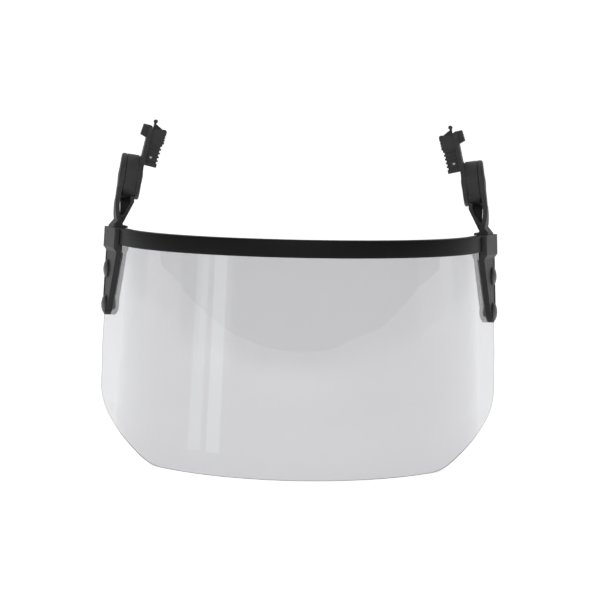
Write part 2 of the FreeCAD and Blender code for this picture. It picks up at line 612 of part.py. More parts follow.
# ---- pivot hardware, in the pivot frame ----
def make_arm_cap():
    """Low crowned cap that closes the nut's seat in the outer face of the arm."""
    ball = (CAP_RADIUS ** 2 + CAP_CROWN ** 2) / (2 * CAP_CROWN)
    crown = Part.makeSphere(ball, V(0, 0, CAP_CROWN - ball))
    crown = crown.common(rod(CAP_RADIUS, 0, CAP_CROWN + 1))
    return crown.fuse(rod(CAP_RADIUS, -CAP_SEAT, 0)).removeSplitter()


def make_pivot_nut():
    low = -CAP_SEAT - NUT_THICKNESS
    return hexagon(NUT_ACROSS_FLATS, low, low + NUT_THICKNESS - SEAT_CLEARANCE).cut(
        rod(SCREW_RADIUS, low - 1, 0))


def make_pivot_washer():
    return rod(WASHER_RADIUS, JOURNAL_END_Z - WASHER_THICKNESS, JOURNAL_END_Z).cut(
        rod(SCREW_RADIUS + SEAT_CLEARANCE, JOURNAL_END_Z - 2, JOURNAL_END_Z + 1))


def make_pivot_screw():
    under_head = JOURNAL_END_Z - WASHER_THICKNESS
    head_end = under_head - SCREW_HEAD_HEIGHT
    head = round_rim(rod(SCREW_HEAD_RADIUS, head_end, under_head), SCREW_HEAD_ROUND, head_end)
    socket = hexagon(SCREW_SOCKET_ACROSS, head_end - 1, head_end + SCREW_SOCKET_DEPTH)
    shank = rod(SCREW_RADIUS, under_head, -CAP_SEAT - SCREW_END_GAP)
    return head.fuse(shank).cut(socket).removeSplitter()


def make_detent_ring():
    """Ring on the arm's disc with a circle of dimples that the ball drops into."""
    low = -DISC_THICKNESS - DETENT_RING_THICKNESS
    ring = rod(DETENT_RADIUS + DETENT_RING_HALF_WIDTH, low, -DISC_THICKNESS).cut(
        rod(DETENT_RADIUS - DETENT_RING_HALF_WIDTH, low - 1, 0))
    dimples = []
    for index in range(DETENT_COUNT):
        angle = 2 * math.pi * index / DETENT_COUNT
        dimples.append(Part.makeSphere(DETENT_DIMPLE_RADIUS, V(
            DETENT_RADIUS * math.sin(angle), DETENT_RADIUS * math.cos(angle),
            low - DETENT_DIMPLE_RADIUS + DETENT_DIMPLE_DEPTH)))
    return ring.cut(dimples)


def ball_centre():
    """Ball in its pocket, straight below the pivot, a gap away from the ring."""
    low = -DISC_THICKNESS - DETENT_RING_THICKNESS
    return V(0, -DETENT_RADIUS, low - BODY_GAP - BALL_RADIUS)


def make_detent_ball():
    return Part.makeSphere(BALL_RADIUS, ball_centre())


def make_detent_spring():
    low = DRUM_INNER_Z + DRUM_FLOOR + DETENT_WIRE
    length = ball_centre().z - BALL_RADIUS - DETENT_WIRE - low
    spring = coil(BALL_RADIUS - 2 * DETENT_WIRE, DETENT_WIRE, DETENT_TURNS, length)
    spring.translate(V(0, -DETENT_RADIUS, low))
    return spring


# ---- slot clip: drum and blade ----
def make_drum():
    drum = round_rim(rod(DISC_RADIUS, DRUM_INNER_Z, DRUM_OUTER_Z), DRUM_ROUND, DRUM_INNER_Z)
    drum = round_rim(drum, DRUM_RIM_ROUND, DRUM_OUTER_Z)
    floor_z = DRUM_INNER_Z + DRUM_FLOOR
    drum = drum.cut(rod(DISC_RADIUS - DRUM_WALL, floor_z, DRUM_OUTER_Z + 1))
    groove_z = DRUM_INNER_Z + DRUM_ROUND + DRUM_GROOVE_OFFSET
    groove = rod(DISC_RADIUS + 1, groove_z, groove_z + DRUM_GROOVE_WIDTH).cut(
        rod(DISC_RADIUS - DRUM_GROOVE, groove_z - 1, groove_z + DRUM_GROOVE_WIDTH + 1))
    hub = rod(HUB_RADIUS, DRUM_INNER_Z + HUB_SETBACK, DRUM_OUTER_Z - DETENT_RING_THICKNESS)
    tube = rod(BALL_RADIUS + POCKET_CLEARANCE + POCKET_WALL, floor_z - HUB_SETBACK,
               ball_centre().z + POCKET_ABOVE_BALL, 0, -DETENT_RADIUS)
    tube = tube.common(rod(DISC_RADIUS - DRUM_WALL / 2, DRUM_INNER_Z, DRUM_OUTER_Z))
    drum = drum.fuse([hub, tube])
    well = rod(BALL_RADIUS + POCKET_CLEARANCE, floor_z, DRUM_OUTER_Z, 0, -DETENT_RADIUS)
    bore = rod(JOURNAL_RADIUS + JOURNAL_FIT, DRUM_INNER_Z - 1, DRUM_OUTER_Z)
    seat = rod(WASHER_RADIUS + BODY_GAP, DRUM_INNER_Z - 1, POCKET_FLOOR_Z)
    return drum.cut([well, bore, seat, groove])


def blade_rise(rise):
    """Height along the blade of a point given by its rise over the pivot centre."""
    return rise - BLADE_BEND_RISE


def make_blade():
    """Blade and catch, in the blade frame, whose z = 0 is the blade's inner face."""
    half = BLADE_WIDTH / 2
    top = blade_rise(BLADE_TOP)
    shoulder = top - BLADE_CORNER
    blade = slab([(-half, 0), (half, 0), (half, shoulder), (half - BLADE_CORNER, top),
                  (BLADE_CORNER - half, top), (-half, shoulder)], 0, BLADE_THICKNESS)
    low, high = blade_rise(CATCH_BOTTOM), blade_rise(CATCH_TOP)
    proud = BLADE_THICKNESS + CATCH_PROUD
    catch = side_slab([(0, low), (BLADE_THICKNESS, low), (proud, low + CATCH_SLOPE),
                       (proud - CATCH_TAPER, high), (BLADE_THICKNESS / 2, high), (0, top)],
                      -CATCH_WIDTH / 2, CATCH_WIDTH / 2)
    return place(blade.fuse(catch), BLADE_FRAME)


def make_slot_clip():
    washer_room = rod(WASHER_RADIUS + BODY_GAP, DRUM_INNER_Z - 1, POCKET_FLOOR_Z)
    blade = make_blade().cut(place(washer_room, PIVOT_FRAME))
    return place(make_drum(), PIVOT_FRAME).fuse(blade)


# ---- grip and release latch, in the blade frame ----
def make_grip_block():
    """Ribbed hollow grip on the inner face of the blade, open towards it and at the top."""
    half = GRIP_WIDTH / 2
    lower_half = half - GRIP_SIDE_STEP
    low, step, high = blade_rise(GRIP_BOTTOM), blade_rise(GRIP_STEP), blade_rise(GRIP_TOP)
    crest = high + GRIP_TOP_RISE
    step_face = GRIP_STEP_DEPTH - GRIP_DEPTH
    lower = side_slab([(0, low), (step_face + GRIP_TAPER, low), (step_face, step), (0, step)],
                      -lower_half, lower_half)
    upper = side_slab([(0, step), (-GRIP_DEPTH, step), (-GRIP_DEPTH, crest - GRIP_CORNER),
                       (GRIP_CORNER - GRIP_DEPTH, crest), (0, high)], -half, half)
    block = lower.fuse(upper).removeSplitter()
    grooves = []
    for index in range(1, int((step - low) / RIB_PITCH)):
        level = step - index * RIB_PITCH
        taper = GRIP_TAPER * (step - level) / (step - low)
        side = lower_half - RIB_DEPTH
        ring = groove_box(level, RIB_PITCH / 4, 2 * GRIP_DEPTH)
        grooves.append(ring.cut(box((-side, side), (low - 1, high),
                                    (taper + step_face + RIB_DEPTH, 0))))
    for index in range(1, int((high - step) / TOP_RIB_PITCH)):
        level = step + index * TOP_RIB_PITCH
        ring = groove_box(level, TOP_RIB_PITCH / 4, 2 * GRIP_DEPTH)
        grooves.append(ring.cut(box((-2 * half, 2 * half), (low, crest),
                                    (TOP_RIB_DEPTH - GRIP_DEPTH, 0))))
    inner_half = lower_half - GRIP_WALL
    hollow = box((-inner_half, inner_half), (low + GRIP_WALL, high - GRIP_WALL),
                 (step_face + GRIP_TAPER + GRIP_WALL, 1))
    mouth_half = LATCH_WIDTH / 2 + MOUTH_CLEARANCE
    mouth = box((-mouth_half, mouth_half), (high - 2 * GRIP_WALL, crest + 1), (-MOUTH_DEPTH, 1))
    return block.cut(grooves + [hollow, mouth, latch_pin_rod(PIN_RADIUS, PIN_HOLE_COVER)])


def groove_box(level, half_height, depth):
    """Cutter for a groove round the grip at one height, which stops short of the blade."""
    return box((-GRIP_WIDTH, GRIP_WIDTH), (level - half_height, level + half_height),
               (-depth, -RIB_COVER))


def latch_pin_rod(radius, inset):
    """Cylinder along the latch's pin line, as long as the grip is wide less an inset."""
    half = GRIP_WIDTH / 2 - inset
    return Part.makeCylinder(radius, 2 * half, V(-half, blade_rise(LATCH_PIVOT_RISE),
                                                 -LATCH_PIVOT_DEPTH), V(1, 0, 0))


def make_latch_pin():
    return latch_pin_rod(PIN_RADIUS, PIN_HOLE_COVER + PIN_END_GAP)


def make_release_latch():
    """Tongue with an eye on the latch pin, a sloping thumb shoulder, and a round knob on a
    neck above the blade's top."""
    face = -LATCH_SETBACK
    back = face - LATCH_THICKNESS
    half = LATCH_WIDTH / 2
    pivot = blade_rise(LATCH_PIVOT_RISE)
    knob = blade_rise(LATCH_TIP) - LATCH_KNOB_RADIUS
    shoulder = blade_rise(LATCH_SHOULDER_RISE)
    root = shoulder + LATCH_THICKNESS
    neck_low = -LATCH_KNOB_DEPTH - LATCH_NECK_THICKNESS / 2
    neck_high = neck_low + LATCH_NECK_THICKNESS
    tongue = side_slab([(face, pivot), (face, root), (neck_high, root), (neck_high, knob),
                        (neck_low, knob), (neck_low, root), (-LATCH_SHOULDER_REACH, shoulder),
                        (-LATCH_SHOULDER_REACH, shoulder - LATCH_SHOULDER_DROP),
                        (back, shoulder - LATCH_SHOULDER_DROP), (back, pivot)], -half, half)
    eye = Part.makeCylinder(LATCH_EYE_RADIUS, LATCH_WIDTH, V(-half, pivot, -LATCH_PIVOT_DEPTH),
                            V(1, 0, 0))
    ball = Part.makeCylinder(LATCH_KNOB_RADIUS, LATCH_WIDTH, V(-half, knob, -LATCH_KNOB_DEPTH),
                             V(1, 0, 0))
    return tongue.fuse([eye, ball]).cut(latch_pin_rod(PIN_RADIUS + PIN_FIT, 0)).removeSplitter()


def make_latch_spring():
    """Torsion spring on the pin beside the latch, with a leg to the grip's wall."""
    start = LATCH_WIDTH / 2 + 2 * TORSION_WIRE + BODY_GAP
    length = 2 * TORSION_WIRE * TORSION_TURNS * TORSION_SPACING
    spring = coil(TORSION_RADIUS, TORSION_WIRE, TORSION_TURNS, length)
    spring.rotate(V(0, 0, 0), V(0, 1, 0), 90)
    spring.translate(V(start, blade_rise(LATCH_PIVOT_RISE), -LATCH_PIVOT_DEPTH))
    return spring


# ---- the whole shield ----
def side_parts():
    """Every piece of the side at +X, in the shield's frame."""
    in_bracket = {"side_bracket": make_side_bracket(), "backing_strip": make_backing_strip(),
                  "upper_rivet": make_rivet(UPPER_RIVET_DROP),
                  "lower_rivet": make_rivet(LOWER_RIVET_DROP), "rivet_caps": make_rivet_caps()}
    in_pivot = {"arm_cap": make_arm_cap(), "pivot_nut": make_pivot_nut(),
                "pivot_washer": make_pivot_washer(), "pivot_screw": make_pivot_screw(),
                "detent_ring": make_detent_ring(), "detent_ball": make_detent_ball(),
                "detent_spring": make_detent_spring()}
    in_blade = {"grip_block": make_grip_block(), "latch_pin": make_latch_pin(),
                "release_latch": make_release_latch(), "latch_spring": make_latch_spring()}
    parts = {"pivot_arm": make_pivot_arm(), "slot_clip": make_slot_clip()}
    for group, placement in ((in_bracket, BRACKET_FRAME), (in_pivot, PIVOT_FRAME),
                             (in_blade, BLADE_FRAME)):
        for name, shape in group.items():
            parts[name] = place(shape, placement)
    return parts


os.makedirs("parts", exist_ok=True)
nodes = {"lens": make_lens(), "brow_bar": make_brow_bar()}
for name, shape in side_parts().items():
    nodes["left_" + name] = shape
    nodes["right_" + name] = shape.mirror(V(0, 0, 0), V(1, 0, 0))
extents = [shape.optimalBoundingBox(False, False) for shape in nodes.values()]
SHIFT = V(0, -(min(e.YMin for e in extents) + max(e.YMax for e in extents)) / 2, 0)
for name, shape in nodes.items():
    shape.translate(SHIFT)
    shape.exportStep("parts/" + name + ".step")
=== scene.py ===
from math import radians

import bmesh
import bpy
import numpy as np
from mathutils import Matrix, Vector


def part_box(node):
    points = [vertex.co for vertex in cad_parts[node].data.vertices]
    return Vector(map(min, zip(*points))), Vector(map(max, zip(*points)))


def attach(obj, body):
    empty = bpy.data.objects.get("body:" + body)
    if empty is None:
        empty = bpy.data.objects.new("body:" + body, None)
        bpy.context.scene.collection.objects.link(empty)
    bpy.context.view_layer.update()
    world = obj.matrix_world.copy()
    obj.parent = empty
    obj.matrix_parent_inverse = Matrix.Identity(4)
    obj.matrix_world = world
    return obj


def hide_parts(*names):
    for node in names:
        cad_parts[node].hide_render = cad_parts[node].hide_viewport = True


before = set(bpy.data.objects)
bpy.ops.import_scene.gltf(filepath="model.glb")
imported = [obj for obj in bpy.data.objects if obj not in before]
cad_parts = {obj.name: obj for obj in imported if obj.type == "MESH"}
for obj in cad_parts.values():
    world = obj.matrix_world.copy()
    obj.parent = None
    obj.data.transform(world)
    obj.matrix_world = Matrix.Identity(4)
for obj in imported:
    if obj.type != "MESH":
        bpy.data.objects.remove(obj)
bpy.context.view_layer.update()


# ---- lens ----
# The visor is one sheet of clear polycarbonate, 1.5 mm thick, cut to its outline, bent round
# a drum over the face and left flat along the temples. Its edges are routed and broken.
MM = 0.001
LENS_RADIUS = 138 * MM           # outer face of the round front at the height of the brow bar
LENS_THICKNESS = 1.5 * MM
LENS_ARC_HALF_ANGLE = radians(70)
LENS_SIDE_RUN = 59.5 * MM
LENS_FLARE = radians(3)
CORNER_TOP = 43 * MM
CORNER_SLOPE = radians(31)
CORNER_FOOT = 96.8 * MM
CORNER_FOOT_RADIUS = 32 * MM
LENS_EDGE_ROUND = 0.5 * MM       # edges are broken after routing
LENS_FINE_EDGE = 14 * MM         # width of the closer columns beside each side edge
LENS_COLUMNS = (33, 73, 41)      # columns over the foot, the corner and the side edge
LENS_ROWS = 61
HALVINGS = 30
TINY = 0.001 * MM                # a column that starts lower than this starts at the foot
CUT_EDGE = 1                     # place of the cut edge's material among the sheet's two

lens_low, lens_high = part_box("lens")
bar_low, bar_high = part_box("brow_bar")
bar_middle = (bar_low.z + bar_high.z) / 2
lens_foot_radius = LENS_RADIUS + (bar_middle - lens_low.z) * np.tan(LENS_FLARE)
lens_axis_y = lens_low.y + lens_foot_radius


def linear(code):
    """Linear colour, with an alpha of 1, of an sRGB value such as "8fa3b0"."""
    parts = [int(code[i:i + 2], 16) / 255 for i in (0, 2, 4)]
    return [p / 12.92 if p <= 0.04045 else ((p + 0.055) / 1.055) ** 2.4 for p in parts] + [1]


def add_node(tree, kind, settings=(), inputs=()):
    """New shader node. inputs gives each socket a value, or the output that feeds it."""
    node = tree.nodes.new("ShaderNode" + kind)
    for name, value in dict(settings).items():
        setattr(node, name, value)
    for name, value in dict(inputs).items():
        if isinstance(value, bpy.types.NodeSocket):
            tree.links.new(value, node.inputs[name])
        else:
            node.inputs[name].default_value = value
    return node


def new_material(name, **shine):
    """Empty node material with one Principled shader, whose plain sockets come from shine."""
    material = bpy.data.materials.new(name)
    material.use_nodes = True
    tree = material.node_tree
    shader = tree.nodes["Principled BSDF"]
    for socket, value in shine.items():
        shader.inputs[socket.replace("_", " ")].default_value = value
    return material, tree, shader


def grid_mesh(name, points, close_columns=False):
    """Mesh of a (rows, columns, 3) grid of points, with a face between each four neighbours."""
    rows, columns = points.shape[:2]
    index = np.arange(rows * columns).reshape(rows, columns)
    if close_columns:
        index = np.hstack([index, index[:, :1]])
    quads = np.stack([index[:-1, :-1], index[:-1, 1:], index[1:, 1:], index[1:, :-1]], -1)
    mesh = bpy.data.meshes.new(name)
    mesh.from_pydata(points.reshape(-1, 3).tolist(), [], quads.reshape(-1, 4).tolist())
    mesh.polygons.foreach_set("use_smooth", np.ones(len(mesh.polygons), bool))
    return mesh


def show(name, mesh, material, body, slot, *nodes):
    """Object at the origin that rides on a body and stands for the named CAD nodes."""
    piece = bpy.data.objects.new(name, mesh)
    bpy.context.scene.collection.objects.link(piece)
    mesh.materials.clear()
    mesh.materials.append(material)
    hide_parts(*nodes)
    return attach(piece, body)


def plan_points(along, offset, z):
    """Points on the lens's plan line: a circle about the lens's axis, grown by the offset and
    by the flare below the brow bar, as far as the half angle, and its tangents from there."""
    arc_length = LENS_ARC_HALF_ANGLE * LENS_RADIUS
    swing = np.clip(along / LENS_RADIUS, -LENS_ARC_HALF_ANGLE, LENS_ARC_HALF_ANGLE)
    run = np.sign(along) * np.maximum(np.abs(along) - arc_length, 0)
    radius = LENS_RADIUS + offset + (bar_middle - z) * np.tan(LENS_FLARE)
    x = np.sin(swing) * radius + np.cos(swing) * run
    y = lens_axis_y - np.cos(swing) * radius + np.sin(swing) * run
    return np.stack([x, y, z + 0 * x], -1)


def outline_half_width(z):
    """Half width of the lens's front outline at a height: a turn up from the flat foot, a
    sloping run, a turn into the upright side, and the side itself."""
    limit = lens_high.x
    foot_turn = CORNER_FOOT_RADIUS * np.tan(CORNER_SLOPE / 2)
    foot_end_z = foot_turn * np.sin(CORNER_SLOPE)
    foot_corner = CORNER_FOOT + foot_turn
    knee_z = (limit - foot_corner) * np.tan(CORNER_SLOPE)
    knee_turn = CORNER_TOP - knee_z
    knee_radius = knee_turn / np.tan((np.pi / 2 - CORNER_SLOPE) / 2)
    knee_start_z = knee_z - knee_turn * np.sin(CORNER_SLOPE)
    foot = CORNER_FOOT + np.sqrt(np.maximum(
        CORNER_FOOT_RADIUS ** 2 - (CORNER_FOOT_RADIUS - np.clip(z, 0, foot_end_z)) ** 2, 0))
    slope = foot_corner + z / np.tan(CORNER_SLOPE)
    knee = limit - knee_radius + np.sqrt(np.maximum(
        knee_radius ** 2 - (CORNER_TOP - np.clip(z, 0, CORNER_TOP)) ** 2, 0))
    return np.where(z < foot_end_z, foot, np.where(z < knee_start_z, slope, knee))


def lens_grid():
    """Outer face of the lens: columns run along the plan line, and each has its rows spread
    evenly from the lens's outline, found by halving, up to its top edge."""
    half = LENS_ARC_HALF_ANGLE * LENS_RADIUS + LENS_SIDE_RUN
    fine_from = half - LENS_FINE_EDGE
    foot_columns, corner_columns, edge_columns = LENS_COLUMNS
    side = np.concatenate([np.linspace(0, CORNER_FOOT, foot_columns)[:-1],
                           np.linspace(CORNER_FOOT, fine_from, corner_columns)[:-1],
                           np.linspace(fine_from, half, edge_columns)])
    along = np.concatenate([-side[:0:-1], side])
    low, high = np.zeros_like(along), np.full_like(along, lens_high.z)
    for _ in range(HALVINGS):
        middle = (low + high) / 2
        outside = np.abs(plan_points(along, 0, middle)[:, 0]) > outline_half_width(middle)
        low, high = np.where(outside, middle, low), np.where(outside, high, middle)
    foot = np.where(low > TINY, high, lens_low.z)
    share = np.linspace(0, 1, LENS_ROWS)[:, None]
    return plan_points(along[None, :], 0, foot + (lens_high.z - foot) * share)


def clear_polycarbonate():
    """Clear polycarbonate sheet, pressed between polished rolls: a grey cast, a sharp gloss, a
    slow waviness that bends reflections, and smears and dust that dull the gloss in patches.
    Light from a lamp passes straight through, so the sheet's shadow stays pale."""
    SMEAR = 1 / (60 * MM)          # smears left by wiping, about 60 mm across
    WAVE = 1 / (45 * MM)           # slow waves from the rolls
    DUST = 1 / (0.9 * MM)          # dust specks, drawn three times coarser than real ones
    material, tree, shader = new_material(
        "clear_polycarbonate", Base_Color=linear("bebec0"), Transmission_Weight=1.0, IOR=1.585)
    place = add_node(tree, "TexCoord").outputs["Object"]
    smear = add_node(tree, "TexNoise", inputs={"Vector": place, "Scale": SMEAR, "Detail": 3.0})
    haze = add_node(tree, "MapRange", inputs={
        "Value": smear.outputs["Fac"], "From Min": 0.35, "From Max": 0.8,
        "To Min": 0.0, "To Max": 0.02})
    dust = add_node(tree, "TexVoronoi", inputs={"Vector": place, "Scale": DUST})
    speck = add_node(tree, "MapRange", inputs={
        "Value": dust.outputs["Distance"], "From Min": 0.05, "From Max": 0.12,
        "To Min": 0.10, "To Max": 0.0})
    rough = add_node(tree, "Math", {"operation": "ADD"}, {
        0: haze.outputs["Result"], 1: speck.outputs["Result"]})
    tree.links.new(rough.outputs[0], shader.inputs["Roughness"])
    wave = add_node(tree, "TexNoise", inputs={"Vector": place, "Scale": WAVE, "Detail": 1.0})
    bump = add_node(tree, "Bump", inputs={
        "Height": wave.outputs["Fac"], "Strength": 0.25, "Distance": 0.25 * MM})
    tree.links.new(bump.outputs["Normal"], shader.inputs["Normal"])
    lamp_ray = add_node(tree, "LightPath").outputs["Is Shadow Ray"]
    passed = add_node(tree, "BsdfTransparent", inputs={"Color": linear("e6e6e8")})
    mixed = add_node(tree, "MixShader", inputs={
        "Fac": lamp_ray, 1: shader.outputs["BSDF"], 2: passed.outputs["BSDF"]})
    tree.links.new(mixed.outputs["Shader"], tree.nodes["Material Output"].inputs["Surface"])
    return material


def painted_shade_edge_material():
    """Cut edge of the sheet: matt from the cutter, with fine lines where the cutter's teeth
    passed. Its dark grey is painted shade, darker than clear polycarbonate is; a real cut
    edge looks dark only because it refracts the light."""
    CUTTER_MARKS = 1 / (1.5 * MM)  # drawn coarser than real ones
    material, tree, shader = new_material("routed_polycarbonate_edge_painted_shade")
    place = add_node(tree, "TexCoord").outputs["Object"]
    mark = add_node(tree, "TexNoise", inputs={"Vector": place, "Scale": CUTTER_MARKS})
    # Painted shade: the whole edge is dark grey, varied only by the cutter marks.
    tint = add_node(tree, "MixRGB", inputs={
        "Fac": mark.outputs["Fac"], "Color1": linear("2e2f30"), "Color2": linear("3c3e40")})
    tree.links.new(tint.outputs["Color"], shader.inputs["Base Color"])
    rough = add_node(tree, "MapRange", inputs={
        "Value": mark.outputs["Fac"], "To Min": 0.4, "To Max": 0.6})
    tree.links.new(rough.outputs["Result"], shader.inputs["Roughness"])
    return material


lens = show("lens_sheet", grid_mesh("lens_sheet", lens_grid()), clear_polycarbonate(),
            "visor", "clear_polycarbonate", "lens")
# The sheet's cut edge and its broken corners carry the dark edge material, painted shade.
lens.data.materials.append(painted_shade_edge_material())
wall = lens.modifiers.new("wall", "SOLIDIFY")
wall.thickness = LENS_THICKNESS
wall.offset = -1
wall.material_offset_rim = CUT_EDGE
rim = lens.modifiers.new("broken edge", "BEVEL")
rim.width = LENS_EDGE_ROUND
rim.segments = 2
rim.limit_method = "ANGLE"
rim.angle_limit = radians(60)
rim.harden_normals = True
rim.material = CUT_EDGE


# ---- brow bar ----
# A soft black profile is extruded with a slot along its underside and pushed over the top
# edge of the lens. The die leaves faint lines along it.
BAR_WALL = 3 * MM
SLOT_CLEARANCE = 0.1 * MM
BAR_EDGE_ROUND = 1.2 * MM
BAR_END_RUN = 12.1 * MM          # bar's ends behind the start of the flat sides
BAR_ROUND_STEPS = 5
BAR_STEPS = 160                  # lengths of bar between its ends


def bar_profile():
    """Closed section of the bar as (offset from the lens, height) pairs: a rectangle with a
    quarter circle at each corner and a slot for the lens up from its underside."""
    outer = BAR_WALL + SLOT_CLEARANCE
    inner = -LENS_THICKNESS - SLOT_CLEARANCE - BAR_WALL
    slot = (-LENS_THICKNESS - SLOT_CLEARANCE, SLOT_CLEARANCE)
    low, high, top = bar_low.z, bar_high.z, bar_high.z - BAR_WALL
    turn = np.linspace(0, np.pi / 2, BAR_ROUND_STEPS)
    rounds = []
    for quarter, x, z, side, rise in ((0, outer, high, 1, 1), (1, inner, high, -1, 1),
                                      (2, inner, low, -1, -1), (3, outer, low, 1, -1)):
        angle = turn + quarter * np.pi / 2
        centre = np.array([x - side * BAR_EDGE_ROUND, z - rise * BAR_EDGE_ROUND])
        rounds.append(centre + BAR_EDGE_ROUND * np.stack([np.cos(angle), np.sin(angle)], -1))
    mouth = np.array([(slot[0], low), (slot[0], top), (slot[1], top), (slot[1], low)])
    return np.concatenate(rounds[:3] + [mouth] + rounds[3:])


def bar_mesh():
    """The bar's section carried along the lens's plan line, leaning with the flare, and one
    face over each end. Its map runs along the bar in u and round the section in v."""
    half = LENS_ARC_HALF_ANGLE * LENS_RADIUS + BAR_END_RUN
    along = np.linspace(-half, half, BAR_STEPS + 1)[:, None]
    section = bar_profile()
    points = plan_points(along, section[None, :, 0], section[None, :, 1])
    mesh = grid_mesh("brow_bar_profile", points, close_columns=True)
    shape = bmesh.new()
    shape.from_mesh(mesh)
    shape.verts.ensure_lookup_table()
    count = len(section)
    for start in (0, len(shape.verts) - count):
        shape.faces.new(shape.verts[start:start + count])
    bmesh.ops.recalc_face_normals(shape, faces=shape.faces)
    shape.to_mesh(mesh)
    shape.free()
    corner = np.empty(len(mesh.loops), int)
    mesh.loops.foreach_get("vertex_index", corner)
    row, column = np.divmod(corner, count)
    along_bar = mesh.uv_layers.new(name="along_bar")
    along_bar.data.foreach_set("uv", np.stack([row / BAR_STEPS, column / count], -1).ravel())
    return mesh


def soft_profile():
    """Soft black thermoplastic elastomer: satin, with faint die lines along the bar."""
    DIE_LINES = 90.0               # lines round the section, drawn coarser than the real ones
    material, tree, shader = new_material(
        "soft_black_profile", Base_Color=linear("09090a"), Specular_IOR_Level=0.16)
    strip = add_node(tree, "UVMap", {"uv_map": "along_bar"}).outputs["UV"]
    stretch = add_node(tree, "Mapping", inputs={"Vector": strip, "Scale": (6.0, DIE_LINES, 1.0)})
    line = add_node(tree, "TexNoise", inputs={
        "Vector": stretch.outputs["Vector"], "Scale": 1.0, "Detail": 2.0})
    rough = add_node(tree, "MapRange", inputs={
        "Value": line.outputs["Fac"], "To Min": 0.42, "To Max": 0.66})
    tree.links.new(rough.outputs["Result"], shader.inputs["Roughness"])
    bump = add_node(tree, "Bump", inputs={
        "Height": line.outputs["Fac"], "Strength": 0.3, "Distance": 0.08 * MM})
    tree.links.new(bump.outputs["Normal"], shader.inputs["Normal"])
    return material


bar = show("brow_bar_profile", bar_mesh(), soft_profile(), "visor", "soft_black_profile",
           "brow_bar")
slot_corners = bar.modifiers.new("sharp corners", "EDGE_SPLIT")
slot_corners.split_angle = radians(40)


# ---- side brackets and backing strips ----
# Each bracket is moulded in glass-filled black nylon, slips over the upper rear corner of the
# lens and runs down its side. A nylon strip inside the lens backs the rivets.
MOULDED_ROUND = 0.35 * MM        # every edge of a moulding
MERGE_REACH = 0.002 * MM


def moulded_copy(node):
    """Copy of a CAD node's mesh with its loose triangles merged and its flat faces made one."""
    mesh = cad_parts[node].data.copy()
    mesh.name = node + "_moulded"
    shape = bmesh.new()
    shape.from_mesh(mesh)
    bmesh.ops.remove_doubles(shape, verts=shape.verts, dist=MERGE_REACH)
    bmesh.ops.dissolve_limit(shape, angle_limit=radians(1), verts=shape.verts,
                             edges=shape.edges)
    shape.to_mesh(mesh)
    shape.free()
    mesh.polygons.foreach_set("use_smooth", np.ones(len(mesh.polygons), bool))
    return mesh


def show_moulded(node, material, body, slot):
    """Moulded copy of a CAD node in its place, with rounded edges and flats that stay flat in
    the light."""
    piece = show(node + "_moulded", moulded_copy(node), material, body, slot, node)
    bevel = piece.modifiers.new("moulded edges", "BEVEL")
    bevel.width = MOULDED_ROUND
    bevel.segments = 2
    bevel.limit_method = "ANGLE"
    bevel.angle_limit = radians(28)
    flat = piece.modifiers.new("flat faces", "WEIGHTED_NORMAL")
    flat.keep_sharp = True
    flat.weight = 60


def moulded_nylon(name, colours, roughness, edge_shine):
    """Moulded nylon: the spark-eroded mould leaves an even matt grain, and the flow of the nylon
    mottles it between the first two colours. Every edge is lightened towards the third
    colour, a painted highlight for the shine of edges that handling polishes."""
    dark, pale, highlight_colour = (linear(code) for code in colours)
    GRAIN = 1 / (0.5 * MM)         # drawn three times coarser than the real grain
    FLOW = 1 / (7 * MM)            # cloudiness from the way the nylon filled the mould
    EDGE_REACH = 0.6 * MM
    material, tree, shader = new_material(name)
    place = add_node(tree, "TexCoord").outputs["Object"]
    fine = add_node(tree, "TexNoise", inputs={"Vector": place, "Scale": GRAIN, "Detail": 3.0})
    cloud = add_node(tree, "TexNoise", inputs={"Vector": place, "Scale": FLOW, "Detail": 2.0})
    tint = add_node(tree, "MixRGB", inputs={
        "Fac": cloud.outputs["Fac"], "Color1": dark, "Color2": pale})
    rounded = add_node(tree, "Bevel", {"samples": 4}, {"Radius": EDGE_REACH})
    plain = add_node(tree, "NewGeometry").outputs["Normal"]
    bend = add_node(tree, "VectorMath", {"operation": "DOT_PRODUCT"}, {
        0: rounded.outputs["Normal"], 1: plain})
    # Painted highlight: near every edge the Bevel node finds, inner ones too, the colour turns
    # paler.
    painted_edge_highlight = add_node(tree, "MapRange", inputs={
        "Value": bend.outputs["Value"], "From Min": 0.99, "From Max": 0.85,
        "To Min": 0.0, "To Max": edge_shine})
    edge = add_node(tree, "MixRGB", inputs={
        "Fac": painted_edge_highlight.outputs["Result"], "Color1": tint.outputs["Color"], "Color2": highlight_colour})
    tree.links.new(edge.outputs["Color"], shader.inputs["Base Color"])
    rough = add_node(tree, "MapRange", inputs={
        "Value": fine.outputs["Fac"], "To Min": roughness - 0.08, "To Max": roughness + 0.08})
    tree.links.new(rough.outputs["Result"], shader.inputs["Roughness"])
    bump = add_node(tree, "Bump", inputs={
        "Height": fine.outputs["Fac"], "Strength": 0.35, "Distance": 0.06 * MM})
    tree.links.new(bump.outputs["Normal"], shader.inputs["Normal"])
    return material


SIDES = ("left", "right")
# The third colour of each moulded nylon is its painted edge highlight.
black_nylon = moulded_nylon("black_glass_filled_nylon", ("1a1a1b", "222223", "3e3e3f"), 0.6, 0.5)

# Unfilled nylon in its natural colour is milky, and lets through some of the light behind it.
# Its third colour is the painted edge highlight.
natural_nylon = moulded_nylon("natural_nylon", ("dcdcd9", "e4e4e0", "efefec"), 0.5, 0.3)
milky = natural_nylon.node_tree.nodes["Principled BSDF"].inputs
milky["Transmission Weight"].default_value = 0.7
milky["IOR"].default_value = 1.53

for side in SIDES:
    show_moulded(side + "_side_bracket", black_nylon, "visor", "black_nylon")
    show_moulded(side + "_backing_strip", natural_nylon, "visor", "natural_nylon")


